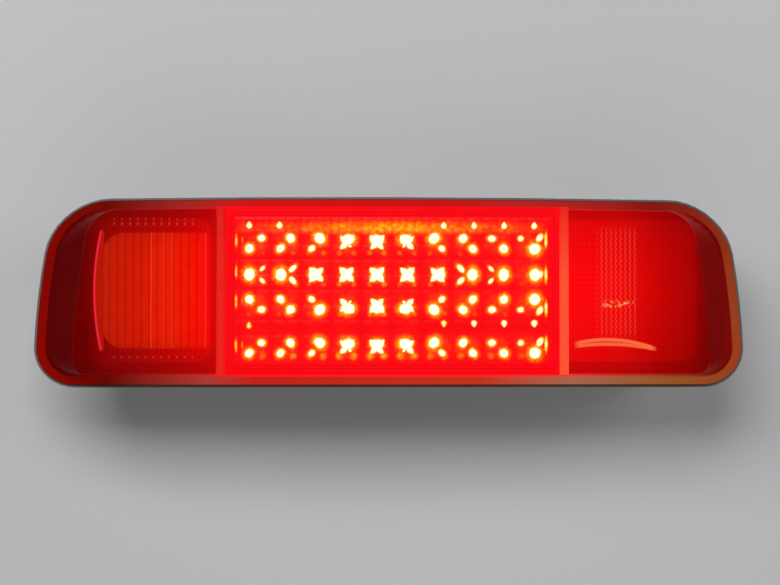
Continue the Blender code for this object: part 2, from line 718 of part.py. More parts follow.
def bulb_holder(name, side):
    """A holder that turns to let its three lugs out of the housing, with its seal and bulb."""
    seal_high = REAR - GAP
    seal_low = seal_high - HOLDER_SEAL_THICKNESS
    flange_high = seal_low - GAP
    flange_low = flange_high - HOLDER_FLANGE_THICKNESS
    flange = HOLDER_RADIUS + HOLDER_FLANGE_REACH
    lug_low = FLOOR + GAP
    lug_high = lug_low + LUG_THICKNESS
    neck_high = lug_high + HOLDER_NECK_REACH
    profile = [
        (flange - 0.0006, flange_low),
        (flange, flange_low + 0.0006),
        (flange, flange_high),
        (HOLDER_RADIUS, flange_high),
        (HOLDER_RADIUS, lug_high + GAP),
        (HOLDER_NECK_RADIUS, lug_high + GAP),
        (HOLDER_NECK_RADIUS, neck_high),
    ]
    holder = place(turned(f"bulb_holder_{name}", profile, GREY_PLASTIC), side * BULB_X)
    ring = lugged_circle(HOLDER_RADIUS * 0.9, HOLDER_RADIUS + LUG_REACH, LUG_HALF_ANGLE, 90)
    lugs = place(plate(f"lugs_{name}", ring, lug_low, lug_high, GREY_PLASTIC), side * BULB_X)
    combine(holder, lugs, "UNION")
    width, reach, thickness = GRIP_SIZE
    bar = rounded_box(-width / 2, width / 2, -thickness / 2, thickness / 2, 0.002, 0.002, 3)
    grip = plate(f"grip_{name}", bar, flange_low - reach, flange_low + 0.0012, GREY_PLASTIC)
    combine(holder, place(grip, side * BULB_X), "UNION")
    wide, deep, thick = BULB_BASE
    slot = plain_box(wide / 2 + GAP, thick / 2 + GAP)
    bottom = neck_high - deep - GAP
    pocket = plate(f"pocket_{name}", slot, bottom, neck_high + GAP, GREY_PLASTIC)
    combine(holder, place(pocket, side * BULB_X))

    ring = circle(flange - 0.0005)
    seal = attach(plate(f"holder_seal_{name}", ring, seal_low, seal_high, RUBBER), holder)
    hole = plate(f"seal_way_{name}", circle(HOLDER_RADIUS + GAP), seal_low - GAP, REAR, RUBBER)
    combine(seal, place(hole, side * BULB_X))

    base_low = neck_high - deep
    glass_low = neck_high + GAP
    glass = [
        (BULB_RADIUS * 0.75, glass_low),
        (BULB_RADIUS, glass_low + BULB_LENGTH * 0.20),
        (BULB_RADIUS, glass_low + BULB_LENGTH * 0.72),
        (BULB_RADIUS * 0.80, glass_low + BULB_LENGTH * 0.90),
        (BULB_RADIUS * 0.30, glass_low + BULB_LENGTH),
    ]
    bulb = attach(turned(f"bulb_{name}", glass, GLASS, 20), holder)
    foot = plate(f"foot_{name}", plain_box(wide / 2, thick / 2), base_low, glass_low + 0.002, GLASS)
    combine(bulb, place(foot, side * BULB_X), "UNION")


# Fittings behind the lamp


def studs():
    head_low = FLOOR + GAP
    hexagon = [(STUD_HEAD_RADIUS, depth) for depth in (head_low, head_low + STUD_HEAD_HEIGHT)]
    for number, (x, z) in enumerate(side_points(STUD_X, STUD_Z), 1):
        stud = place(turned(f"mounting_stud_{number}", hexagon, STEEL, 6), x, z=z)
        shank = [
            (STUD_RADIUS * 0.8, -STUD_REACH),
            (STUD_RADIUS, -STUD_REACH + STUD_RADIUS * 0.3),
            (STUD_RADIUS, head_low + STUD_HEAD_HEIGHT / 2),
        ]
        rod = place(turned(f"shank_{number}", shank, STEEL, SMALL_ROUND), x, z=z)
        combine(stud, rod, "UNION")


def connector():
    inside_x, inside_z = CONNECTOR_INSIDE[0] / 2, CONNECTOR_INSIDE[1] / 2
    outside_x, outside_z = inside_x + CONNECTOR_WALL, inside_z + CONNECTOR_WALL
    flange_x, flange_z = outside_x + CONNECTOR_FLANGE, outside_z + CONNECTOR_FLANGE
    base_low = GAP
    base_high = REAR - GAP
    stations = [
        (moved(plain_box(flange_x, flange_z), CONNECTOR_X), base_high),
        (moved(plain_box(flange_x, flange_z), CONNECTOR_X), base_low),
        (moved(plain_box(outside_x, outside_z), CONNECTOR_X), base_low),
        (moved(plain_box(outside_x, outside_z), CONNECTOR_X), -CONNECTOR_REACH),
        (moved(plain_box(inside_x, inside_z), CONNECTOR_X), -CONNECTOR_REACH),
        (moved(plain_box(inside_x, inside_z), CONNECTOR_X), base_high - 0.0012),
    ]
    shell = loft("connector_inlet", stations, BLACK_PLASTIC)
    width, thickness = BLADE_SIZE
    for number, share in enumerate((-1, 0, 1), 1):
        x = CONNECTOR_X + share * BLADE_PITCH
        slot = moved(plain_box(width / 2 + GAP, thickness / 2 + GAP), x)
        combine(shell, plate(f"slot_{number}", slot, base_low - GAP, REAR, BLACK_PLASTIC))
        blade = moved(plain_box(width / 2, thickness / 2), x)
        plate(f"terminal_blade_{number}", blade, -BLADE_REACH, BOARD_DEPTH - GAP, TIN)


def vent_cap():
    high = REAR - GAP
    profile = [
        (VENT_RADIUS - 0.0008, high - 0.0024),
        (VENT_RADIUS, high - 0.0014),
        (VENT_RADIUS, high),
        (VENT_STEM_RADIUS, high),
        (VENT_STEM_RADIUS, FLOOR + 0.0030),
    ]
    place(turned("vent_cap", profile, RUBBER, 20), VENT_X)


housing()
mounting_pad()
lens_seal()
outer_lens()
centre_lens()
left_window()
left_reflex_border()
right_reflex()
circuit_board()
led_frame()
for row in range(LED_ROWS):
    led_row(row + 1, ((LED_ROWS - 1) / 2 - row) * ROW_PITCH)
board_screws()
board_parts()
for side_name, side_sign in SIDES:
    divider_strip(side_name, side_sign)
    partition(side_name, side_sign)
    reflector(side_name, side_sign)
    bulb_holder(side_name, side_sign)
studs()
connector()
vent_cap()
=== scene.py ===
# %% [markdown]
# # A lit three-chamber brake lamp
# The lamp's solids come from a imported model, in metres, with the lens towards -Y. This lesson gives
# them their looks: moulded red plastic that glows from inside, the optics in front of the diodes,
# and the plain parts of the back. Each step says what a piece is on a real lamp, and then makes it.

# %% Load the lamp
import math

import bpy
import numpy as np
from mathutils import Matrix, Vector


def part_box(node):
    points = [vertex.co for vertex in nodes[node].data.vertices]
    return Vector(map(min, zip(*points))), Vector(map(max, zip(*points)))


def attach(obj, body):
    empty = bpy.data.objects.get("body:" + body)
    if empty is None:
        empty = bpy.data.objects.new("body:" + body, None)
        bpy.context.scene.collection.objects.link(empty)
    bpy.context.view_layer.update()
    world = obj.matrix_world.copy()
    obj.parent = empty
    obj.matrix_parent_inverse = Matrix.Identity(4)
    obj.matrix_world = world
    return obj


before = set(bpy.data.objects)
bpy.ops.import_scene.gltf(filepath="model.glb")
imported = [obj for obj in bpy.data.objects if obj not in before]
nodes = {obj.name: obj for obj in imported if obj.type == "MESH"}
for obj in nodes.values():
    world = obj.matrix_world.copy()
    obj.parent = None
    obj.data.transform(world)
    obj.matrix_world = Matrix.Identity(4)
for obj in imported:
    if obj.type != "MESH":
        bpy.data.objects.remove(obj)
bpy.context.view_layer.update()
print("loaded", len(nodes), "nodes")

# %% [markdown]
# ## Camera
# A long lens from almost straight ahead keeps the lamp's long edges nearly parallel. The camera
# stands slightly to the left and slightly low, so the left end looks a little taller.

# %% Place the camera
AIM = Vector((-0.0008, -0.045, -0.0004))
CAMERA_DISTANCE = 0.80
CAMERA_TURN = math.radians(-2.2)
CAMERA_RISE = math.radians(-1.6)
SENSOR_WIDTH = 36.0
FOCAL_LENGTH = 84.3
to_camera = Vector(
    (
        math.sin(CAMERA_TURN) * math.cos(CAMERA_RISE),
        -math.cos(CAMERA_TURN) * math.cos(CAMERA_RISE),
        math.sin(CAMERA_RISE),
    )
)
lens_data = bpy.data.cameras.new("camera")
lens_data.sensor_width = SENSOR_WIDTH
lens_data.lens = FOCAL_LENGTH
camera = bpy.data.objects.new("camera", lens_data)
bpy.context.scene.collection.objects.link(camera)
camera.location = AIM + to_camera * CAMERA_DISTANCE
camera.rotation_euler = to_camera.to_track_quat("Z", "Y").to_euler()
bpy.context.scene.camera = camera
bpy.context.scene.view_settings.view_transform = "Standard"
print("camera at", [round(value, 3) for value in camera.location])

# %% [markdown]
# ## Materials
# Every finish is a Principled shader, and its colour comes from patterns on Object coordinates, in
# metres. Most finishes have a bump too, and the plain parts a varied roughness. A few helpers keep
# the node trees short: they start a finish, add a node and link its inputs, make a colour ramp,
# mix two colours, and put the finish on the nodes that have it.

# %% Helpers for the finishes
def new_finish(name, roughness=0.5, metallic=0.0, coat=0.0, specular=0.5):
    made = bpy.data.materials.new(name)
    made.use_nodes = True
    tree = made.node_tree
    shader = tree.nodes["Principled BSDF"]
    shader.inputs["Roughness"].default_value = roughness
    shader.inputs["Metallic"].default_value = metallic
    shader.inputs["Coat Weight"].default_value = coat
    shader.inputs["Coat Roughness"].default_value = 0.06
    shader.inputs["Specular IOR Level"].default_value = specular
    place = tree.nodes.new("ShaderNodeTexCoord").outputs["Object"]
    return made, tree, shader, place


def add(tree, kind, settings=None, **inputs):
    """Adds a node. An input takes a socket to link, or a plain value."""
    node = tree.nodes.new(kind)
    for key, value in (settings or {}).items():
        setattr(node, key, value)
    for key, value in inputs.items():
        socket = node.inputs[int(key[1:])] if key[1:].isdigit() else node.inputs[key.replace("_", " ")]
        if isinstance(value, bpy.types.NodeSocket):
            tree.links.new(value, socket)
        else:
            socket.default_value = value
    return node.outputs


def maths(tree, operation, *values):
    inputs = {f"i{index}": value for index, value in enumerate(values)}
    return add(tree, "ShaderNodeMath", {"operation": operation}, **inputs)["Value"]


def ramp(tree, factor, stops):
    """A colour ramp; each stop is a share from 0 to 1 and the colour there."""
    made = tree.nodes.new("ShaderNodeValToRGB")
    scale = made.color_ramp
    while len(scale.elements) < len(stops):
        scale.elements.new(1.0)
    for element, (place, colour) in zip(scale.elements, stops):
        element.position = place
        element.color = (*colour, 1.0)
    tree.links.new(factor, made.inputs["Fac"])
    return made.outputs["Color"]


def along(tree, value, low, high):
    """A length turned into 0 at low and 1 at high, for a ramp."""
    span = {"From_Min": low, "From_Max": high}
    return add(tree, "ShaderNodeMapRange", None, Value=value, **span)["Result"]


def blend_colour(tree, factor, first, second):
    """The first colour where the factor is 0, and the second where it is 1."""
    node = tree.nodes.new("ShaderNodeMix")
    node.data_type = "RGBA"
    for socket, value in ((node.inputs[0], factor), (node.inputs[6], first), (node.inputs[7], second)):
        if isinstance(value, bpy.types.NodeSocket):
            tree.links.new(value, socket)
        else:
            socket.default_value = value
    return node.outputs[2]


def bump(tree, shader, height, distance, strength=1.0):
    made = add(tree, "ShaderNodeBump", None, Height=height, Distance=distance, Strength=strength)
    tree.links.new(made["Normal"], shader.inputs["Normal"])


def put_on(finish, *names):
    for name in names:
        piece = nodes[name]
        piece.data.materials.clear()
        piece.data.materials.append(finish)
    print(finish.name, "on", len(names), "nodes")


print("helpers for the finishes are ready")

# %% [markdown]
# ## Housing, pad and seals
# The housing is black plastic from a spark-eroded mould, so it has a fine even grain and faint
# cloudy patches, and its front rim is painted paler where it shows round the lens. The bulb holders
# are grey, and the diodes' frame and the partitions are white, to throw the light forwards. The
# seals are soft and dull. All of these take one recipe: a cloudy noise for the colour, and a fine
# one for roughness and bump. The pad is closed-cell foam, so it has a cell pattern instead.

# %% Black plastics
def grained(name, dark, light, roughness, grain, depth):
    made, tree, shader, place = new_finish(name, roughness, specular=0.4)
    cloud = add(tree, "ShaderNodeTexNoise", None, Vector=place, Scale=40.0, Detail=3.0)["Fac"]
    tone = ramp(tree, cloud, [(0.3, dark), (0.7, light)])
    tree.links.new(tone, shader.inputs["Base Color"])
    fine = add(tree, "ShaderNodeTexNoise", None, Vector=place, Scale=grain, Detail=4.0)["Fac"]
    rough = ramp(tree, fine, [(0.3, (roughness - 0.08,) * 3), (0.7, (roughness + 0.08,) * 3)])
    tree.links.new(rough, shader.inputs["Roughness"])
    bump(tree, shader, fine, depth)
    return made


BLACK = grained("housing_black", (0.016, 0.016, 0.018), (0.034, 0.034, 0.037), 0.48, 2600.0, 0.00006)
GREY = grained("holder_grey", (0.17, 0.17, 0.18), (0.26, 0.26, 0.27), 0.50, 2200.0, 0.00005)
CHIP = grained("moulded_parts", (0.02, 0.02, 0.022), (0.05, 0.05, 0.055), 0.55, 5000.0, 0.00002)
WHITE = grained("light_catching_white", (0.70, 0.66, 0.60), (0.82, 0.79, 0.74), 0.45, 2400.0, 0.00004)
RUBBER = grained("seal_rubber", (0.014, 0.014, 0.014), (0.03, 0.03, 0.03), 0.80, 1500.0, 0.00005)
print("plastics and rubber are mixed")

# %% Paler front rim of the housing
RIM_DEPTH = 0.0366
RIM_FADE = 0.0010
RIM_GREY = (0.12, 0.12, 0.125, 1.0)
# The front rim is painted a paler grey.
HOUSING = BLACK.copy()
HOUSING.name = "housing_black_pale_rim"
tree = HOUSING.node_tree
shader = tree.nodes["Principled BSDF"]
place = tree.nodes["Texture Coordinate"].outputs["Object"]
depth = maths(tree, "MULTIPLY", add(tree, "ShaderNodeSeparateXYZ", None, Vector=place)["Y"], -1.0)
tone = shader.inputs["Base Color"].links[0].from_socket
tone = blend_colour(tree, along(tree, depth, RIM_DEPTH, RIM_DEPTH + RIM_FADE), tone, RIM_GREY)
tree.links.new(tone, shader.inputs["Base Color"])
print("the rim is paler from depth", RIM_DEPTH)

# %% Put the plastics and rubber on
put_on(HOUSING, "rear_housing")
put_on(BLACK, "connector_inlet", "vent_cap")
put_on(GREY, "bulb_holder_left", "bulb_holder_right")
put_on(CHIP, "polarity_diode", *[f"ballast_resistor_{index}" for index in range(1, 11)])
put_on(WHITE, "led_frame", "partition_left", "partition_right")
put_on(RUBBER, "lens_seal", "holder_seal_left", "holder_seal_right")

# %% Foam
FOAM, tree, shader, place = new_finish("pad_foam", 0.92, specular=0.2)
cells = add(tree, "ShaderNodeTexVoronoi", None, Vector=place, Scale=900.0)["Distance"]
tone = ramp(tree, cells, [(0.0, (0.018, 0.018, 0.018)), (0.5, (0.07, 0.07, 0.072))])
tree.links.new(tone, shader.inputs["Base Color"])
bump(tree, shader, cells, 0.00025)
put_on(FOAM, "mounting_pad")

# %% [markdown]
# ## Metals, board and glass
# The studs and screws are zinc plated, a slightly bluish grey with a cloudy sheen. The studs' M6
# thread, 1 mm from crest to crest, is a bump, because the solid is a plain rod. The blades are
# tinned, and the reflector bowls have a bright film of metal. The circuit board is green with paler
# tracks under its mask.

# %% Metals
def plated(name, dark, light, roughness, speckle):
    made, tree, shader, place = new_finish(name, roughness, 1.0)
    cloud = add(tree, "ShaderNodeTexNoise", None, Vector=place, Scale=speckle, Detail=5.0)["Fac"]
    tree.links.new(ramp(tree, cloud, [(0.3, dark), (0.7, light)]), shader.inputs["Base Color"])
    rough = ramp(tree, cloud, [(0.3, (roughness + 0.1,) * 3), (0.7, (roughness - 0.05,) * 3)])
    tree.links.new(rough, shader.inputs["Roughness"])
    bump(tree, shader, cloud, 0.00002)
    return made


ZINC = plated("zinc_plate", (0.50, 0.51, 0.52), (0.68, 0.69, 0.68), 0.35, 700.0)
TIN = plated("tinned_blade", (0.66, 0.62, 0.54), (0.82, 0.78, 0.70), 0.28, 900.0)
MIRROR = plated("bright_film", (0.80, 0.80, 0.82), (0.90, 0.90, 0.91), 0.14, 120.0)
put_on(ZINC, *[f"board_screw_{index}" for index in range(1, 5)])
put_on(TIN, *[f"terminal_blade_{index}" for index in range(1, 4)])
put_on(MIRROR, "reflector_left", "reflector_right")

# %% Threaded studs
def stripes(tree, value, pitch):
    """A triangle wave along a length: 0 at the middle of each stripe and 1 at its edges."""
    share = maths(tree, "FRACT", maths(tree, "DIVIDE", value, pitch))
    return maths(tree, "MULTIPLY", maths(tree, "ABSOLUTE", maths(tree, "SUBTRACT", share, 0.5)), 2.0)


THREAD_PITCH = 0.001
THREAD_DEPTH = 0.0004
STUD = plated("threaded_zinc", (0.50, 0.51, 0.52), (0.68, 0.69, 0.68), 0.33, 700.0)
tree = STUD.node_tree
place = tree.nodes["Texture Coordinate"].outputs["Object"]
length = add(tree, "ShaderNodeSeparateXYZ", None, Vector=place)["Y"]
bump(tree, tree.nodes["Principled BSDF"], stripes(tree, length, THREAD_PITCH), THREAD_DEPTH)
put_on(STUD, *[f"mounting_stud_{index}" for index in range(1, 5)])

# %% Board
BOARD, tree, shader, place = new_finish("board_green", 0.38, coat=0.3)
grid = add(tree, "ShaderNodeTexBrick", None, Vector=place, Scale=160.0, Mortar_Size=0.03)["Fac"]
tone = blend_colour(tree, grid, (0.012, 0.10, 0.035, 1.0), (0.03, 0.22, 0.08, 1.0))
tree.links.new(tone, shader.inputs["Base Color"])
bump(tree, shader, grid, 0.00003)
put_on(BOARD, "circuit_board")

# %% Diodes and bulb glass
LIT, tree, shader, place = new_finish("lit_diode", 0.15, coat=0.5)
mottle = add(tree, "ShaderNodeTexNoise", None, Vector=place, Scale=300.0)["Fac"]
warm = ramp(tree, mottle, [(0.3, (1.0, 0.55, 0.16)), (0.7, (1.0, 0.85, 0.45))])
tree.links.new(warm, shader.inputs["Base Color"])
tree.links.new(warm, shader.inputs["Emission Color"])
shader.inputs["Emission Strength"].default_value = 3.0
put_on(LIT, *[f"led_row_{index}" for index in range(1, 5)])

GLASS, tree, shader, place = new_finish("bulb_glass", 0.04)
smoke = add(tree, "ShaderNodeTexNoise", None, Vector=place, Scale=90.0)["Fac"]
pale = ramp(tree, smoke, [(0.3, (0.85, 0.83, 0.78)), (0.7, (0.97, 0.96, 0.93))])
tree.links.new(pale, shader.inputs["Base Color"])
shader.inputs["Alpha"].default_value = 0.35
put_on(GLASS, "bulb_left", "bulb_right")

# %% [markdown]
# ## The glowing lens
# The outer lens is one clear red moulding. Lit from behind, it doesn't show its inside but a glow:
# full red near the diodes, dull red over the dark ends. Tracing real light through the plastic is
# slow and noisy, so the glow is painted instead, as light that the plastic gives off. It changes
# along X, with one ramp for the face, one for the sloping walls and two for the flange, whose lower
# and upper edges differ: their orange and greyish tints are painted reflections of the lights on
# the rim. The depth, which is minus Y, picks between them. The colours are listed.

# %% Depths of the outer lens
lens_low, lens_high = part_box("outer_lens")
FACE_DEPTH = -lens_low.y
HALF_LENGTH = lens_high.x
FLANGE_DEPTH = 0.0393
print("lens face at depth", round(FACE_DEPTH, 4), "half length", round(HALF_LENGTH, 4))

# %% Glow ramps: distances along X, and the colour of the light there
FACE_GLOW = [
    (-0.1400, (0.115, 0.0, 0.0)),
    (-0.1310, (0.130, 0.0003, 0.0)),
    (-0.1200, (0.290, 0.0015, 0.0012)),
    (-0.1080, (0.400, 0.0018, 0.0015)),
    (-0.0950, (0.520, 0.0018, 0.0015)),
    (-0.0830, (0.700, 0.0022, 0.0018)),
    (-0.0740, (0.880, 0.0030, 0.0030)),
    (0.0740, (0.940, 0.0030, 0.0040)),
    (0.0850, (0.930, 0.0018, 0.0030)),
    (0.0990, (0.820, 0.0025, 0.0024)),
    (0.1140, (0.560, 0.0010, 0.0008)),
    (0.1290, (0.360, 0.0006, 0.0004)),
    (0.1360, (0.220, 0.0003, 0.0003)),
    (0.1405, (0.145, 0.0, 0.0)),
]
WALL_GLOW = [
    (-0.1500, (0.052, 0.0, 0.0)),
    (-0.1340, (0.062, 0.0, 0.0)),
    (-0.1160, (0.140, 0.0, 0.0)),
    (-0.0950, (0.340, 0.0040, 0.0040)),
    (-0.0790, (0.500, 0.0050, 0.0050)),
    (-0.0600, (0.800, 0.0060, 0.0060)),
    (0.0600, (0.820, 0.0060, 0.0060)),
    (0.0850, (0.560, 0.0030, 0.0030)),
    (0.1000, (0.400, 0.0020, 0.0020)),
    (0.1200, (0.240, 0.0006, 0.0006)),
    (0.1380, (0.130, 0.0, 0.0)),
    (0.1450, (0.120, 0.0, 0.0)),
    (0.1540, (0.175, 0.0015, 0.0006)),
]
# The flange's orange and greyish tints are painted reflections of the lights on its rim.
LOW_FLANGE_GLOW = [
    (-0.1560, (0.205, 0.0020, 0.0006)),
    (-0.1250, (0.110, 0.0025, 0.0008)),
    (-0.0950, (0.290, 0.0260, 0.0180)),
    (-0.0800, (0.380, 0.0420, 0.0340)),
    (-0.0600, (0.520, 0.0150, 0.0100)),
    (0.0400, (0.520, 0.0320, 0.0140)),
    (0.0800, (0.360, 0.1250, 0.0750)),
    (0.1200, (0.280, 0.0900, 0.0220)),
    (0.1560, (0.260, 0.0450, 0.0120)),
]
HIGH_FLANGE_GLOW = [
    (-0.1560, (0.180, 0.0020, 0.0006)),
    (-0.1250, (0.100, 0.0030, 0.0010)),
    (-0.0900, (0.320, 0.0200, 0.0150)),
    (-0.0600, (0.560, 0.0080, 0.0070)),
    (0.0200, (0.520, 0.0060, 0.0060)),
    (0.0600, (0.380, 0.0180, 0.0150)),
    (0.0950, (0.320, 0.0150, 0.0120)),
    (0.1150, (0.190, 0.0070, 0.0040)),
    (0.1320, (0.170, 0.0180, 0.0070)),
    (0.1560, (0.230, 0.0350, 0.0100)),
]
print("four glow ramps, with", len(FACE_GLOW), "stops on the face")

# %% Start the lens finish
def stops_over(low, high, listed):
    """Ramp stops from distances: low comes at 0 and high at 1."""
    return [((distance - low) / (high - low), colour) for distance, colour in listed]


FLANGE_TURNS = (-0.010, 0.020)  # heights where the flange's lower glow ends and its upper one starts
LENS_RED, tree, shader, place = new_finish("lit_red_lens", 0.16, specular=0.06)
shader.inputs["IOR"].default_value = 1.15
parts = add(tree, "ShaderNodeSeparateXYZ", None, Vector=place)
x, z = parts["X"], parts["Z"]
depth = maths(tree, "MULTIPLY", parts["Y"], -1.0)
length_share = along(tree, x, -HALF_LENGTH, HALF_LENGTH)
face_glow, wall_glow, low_flange, high_flange = [
    ramp(tree, length_share, stops_over(-HALF_LENGTH, HALF_LENGTH, listed))
    for listed in (FACE_GLOW, WALL_GLOW, LOW_FLANGE_GLOW, HIGH_FLANGE_GLOW)
]
flange_glow = blend_colour(tree, along(tree, z, *FLANGE_TURNS), low_flange, high_flange)
print("the lens glows along its length")

# %% [markdown]
# ## Reflex cells
# A reflex reflector is a field of small six-sided prisms that send light back where it came from.
# They lie behind the face, so they only change its glow: stripes for the columns, which zig-zag,
# cross stripes for the rows, and their edges are darker. A box with a soft edge keeps them to the
# field at the right and the border round the window at the left.

# %% Helpers for the cells
REFLEX_PITCH = 0.00206
REFLEX_ROW_PITCH = REFLEX_PITCH * 1.16
ZIG_REACH = REFLEX_PITCH * 0.28
FIELD_FADE = 0.0008
FIELD_ROUNDING = 0.012


def reflex_cells(tree, x, z):
    """Stripes of the columns and of the rows; the rows push the columns' edges into a zig-zag."""
    rows = stripes(tree, z, REFLEX_ROW_PITCH)
    zig = maths(tree, "MULTIPLY", rows, ZIG_REACH)
    columns = stripes(tree, maths(tree, "ADD", x, zig), REFLEX_PITCH)
    return columns, rows


def inside_box(tree, x, z, low_x, high_x, half_z):
    """1 inside a box with round corners and 0 outside it, with a soft edge."""
    middle, half = (low_x + high_x) / 2, (high_x - low_x) / 2
    far_x = maths(tree, "SUBTRACT", maths(tree, "ABSOLUTE", maths(tree, "SUBTRACT", x, middle)), half)
    far_z = maths(tree, "SUBTRACT", maths(tree, "ABSOLUTE", z), half_z)
    far = maths(tree, "SMOOTH_MAX", far_x, far_z, FIELD_ROUNDING)
    return along(tree, far, FIELD_FADE / 2, -FIELD_FADE / 2)


print("reflex cells are", round(REFLEX_PITCH * 1000, 2), "mm apart")

# %% Cells in the lens's glow
COLUMN_DARKENS, ROW_DARKENS = 0.15, 0.11
EDGE_DROP = -0.30
OFF_FIELD = 0.72
RIGHT_FIELD = (0.0700, 0.1320, 0.0305)  # from and to along X, and half the height
LEFT_FIELD = (-0.1310, -0.0780, 0.0310)
FACE_HALF_HEIGHT = 0.034
columns, rows = reflex_cells(tree, x, z)
fields = maths(tree, "ADD", inside_box(tree, x, z, *RIGHT_FIELD), inside_box(tree, x, z, *LEFT_FIELD))
column_dark = maths(tree, "MULTIPLY", maths(tree, "POWER", columns, 2.0), COLUMN_DARKENS)
row_dark = maths(tree, "MULTIPLY", maths(tree, "POWER", rows, 3.0), ROW_DARKENS)
cells = maths(tree, "MULTIPLY", maths(tree, "ADD", column_dark, row_dark), fields)
dimming = maths(tree, "MULTIPLY_ADD", cells, -1.0, 1.06)
height = maths(tree, "DIVIDE", z, FACE_HALF_HEIGHT)
drop = maths(tree, "MULTIPLY", maths(tree, "POWER", height, 2.0), EDGE_DROP)
lift = maths(tree, "MULTIPLY", maths(tree, "ADD", drop, 1.0), dimming)
lift = maths(tree, "MULTIPLY", lift, maths(tree, "MULTIPLY_ADD", fields, 1 - OFF_FIELD, OFF_FIELD))
lit_face = add(tree, "ShaderNodeVectorMath", {"operation": "SCALE"}, i0=face_glow, Scale=lift)["Vector"]
bump(tree, shader, cells, 0.0003, 0.5)
print("cells on the face from", LEFT_FIELD[0], "to", RIGHT_FIELD[1])

# %% [markdown]
# The rest of the marks on the face are smaller lights and edges. Each is painted over the glow
# through a mask, and most masks are bands: 1 near a value, fading to 0 beside it. At the fluted
# window's far end the window bulges to a curved edge, which is duller and has a thin pink painted
# highlight on it. The curve is a parabola in height.

# %% Bulging edge beside the window
def band(tree, value, middle, half, soft):
    """1 where a value lies within half of middle, fading to 0 over soft."""
    off = maths(tree, "ABSOLUTE", maths(tree, "SUBTRACT", value, middle))
    return along(tree, off, half + soft, half)


def paint(tree, under, mask, strength, colour):
    """The colour over what is under it, as strong as the mask times the strength."""
    return blend_colour(tree, maths(tree, "MULTIPLY", mask, strength), under, colour)


EDGE_X = -0.1283
EDGE_CURVE = 4.3
WINDOW_END_X = -0.1242
BULGE_HALF_HEIGHT = 0.0250
BULGE_RED = (0.40, 0.0080, 0.0010, 1.0)
EDGE_HIGHLIGHT_PINK = (0.82, 0.0200, 0.0500, 1.0)
tall = maths(tree, "ABSOLUTE", z)
edge = maths(tree, "MULTIPLY_ADD", maths(tree, "POWER", tall, 2.0), EDGE_CURVE, EDGE_X)
past_edge = maths(tree, "SUBTRACT", x, edge)
by_window = along(tree, tall, BULGE_HALF_HEIGHT + 0.0012, BULGE_HALF_HEIGHT)
before_window = along(tree, x, WINDOW_END_X + 0.0006, WINDOW_END_X)
bulge = maths(tree, "MULTIPLY", along(tree, past_edge, 0.0, 0.0006), before_window)
lit_face = paint(tree, lit_face, bulge, by_window, BULGE_RED)
# A thin pink painted highlight along the bulging edge.
edge_highlight = band(tree, past_edge, 0.0003, 0.0002, 0.0004)
lit_face = paint(tree, lit_face, edge_highlight, by_window, EDGE_HIGHLIGHT_PINK)
print("the edge bulges", round((WINDOW_END_X - EDGE_X) * 1000, 1), "mm past the window")

# %% [markdown]
# In the right field a block of cell columns shines as wavy upright lines, and a few of its cells
# flash in one row with painted glints. Above and below the window, its border shows as rows of
# small dots. At the lower right are two thin arcs of light, painted reflections, one over the
# other, each a parabola.

# %% Wavy columns and flashes
WAVY_X, WAVY_Z = (0.0973, 0.0078, 0.0016), (0.0036, 0.0210, 0.0040)  # middle, half and fade
FLASH_X, FLASH_Z = (0.0975, 0.0066, 0.0006), (-0.0056, 0.0010, 0.0008)
WAVY_STRENGTH = 0.60
COLUMN_PINK = (0.93, 0.1100, 0.0800, 1.0)
GLINT_GOLD = (1.00, 0.6000, 0.1600, 1.0)
wavy = maths(tree, "MULTIPLY", maths(tree, "POWER", columns, 7.0), band(tree, x, *WAVY_X))
wavy = maths(tree, "MULTIPLY", wavy, band(tree, z, *WAVY_Z))
lit_face = paint(tree, lit_face, wavy, WAVY_STRENGTH, COLUMN_PINK)
# A few cells in one row flash with painted glints.
dapple = add(tree, "ShaderNodeTexNoise", None, Vector=place, Scale=760.0)["Fac"]
some_cells = along(tree, dapple, 0.50, 0.58)
one_row = maths(tree, "MULTIPLY", band(tree, x, *FLASH_X), band(tree, z, *FLASH_Z))
lit_face = paint(tree, lit_face, maths(tree, "MULTIPLY", one_row, columns), some_cells, GLINT_GOLD)
print("wavy columns in the right field")

# %% Dots above and below the window
FLUTE_PITCH = 0.00337
DOT_ROWS = ((0.0286, 0.42), (0.0306, 0.16), (-0.0286, 0.18))  # height and strength
DOT_HALF, DOT_FADE = 0.0001, 0.0006
DOTS_X = (-0.1028, 0.0160, 0.0030)  # middle, half and fade
DOT_PINK = (0.85, 0.1500, 0.1200, 1.0)
round_dot = along(tree, stripes(tree, x, FLUTE_PITCH), 0.32, 0.05)
for dot_z, strength in DOT_ROWS:
    dot = maths(tree, "MULTIPLY", round_dot, band(tree, z, dot_z, DOT_HALF, DOT_FADE))
    dot = maths(tree, "MULTIPLY", dot, band(tree, x, *DOTS_X))
    lit_face = paint(tree, lit_face, dot, strength, DOT_PINK)
print(len(DOT_ROWS), "rows of dots")

# %% Two arcs of painted reflection
ARCS = ((-0.0211, 8.5, 1.0), (-0.0230, 5.0, 0.9))  # height of the crest, curve and strength
ARC_CREST_X = 0.0925
ARCS_X = (0.0962, 0.0155, 0.0025)  # middle, half and fade
ARC_HALF, ARC_FADE = 0.00045, 0.0005
ARC_REFLECTION_ORANGE = (0.94, 0.1500, 0.0500, 1.0)
# The arcs are painted reflections of a light.
from_crest = maths(tree, "SUBTRACT", x, ARC_CREST_X)
fall = maths(tree, "MULTIPLY", from_crest, from_crest)
for crest_z, curve, strength in ARCS:
    arc_z = maths(tree, "MULTIPLY_ADD", fall, -curve, crest_z)
    arc = band(tree, maths(tree, "SUBTRACT", z, arc_z), 0.0, ARC_HALF, ARC_FADE)
    arc = maths(tree, "MULTIPLY", arc, band(tree, x, *ARCS_X))
    lit_face = paint(tree, lit_face, arc, strength, ARC_REFLECTION_ORANGE)
print(len(ARCS), "arcs")

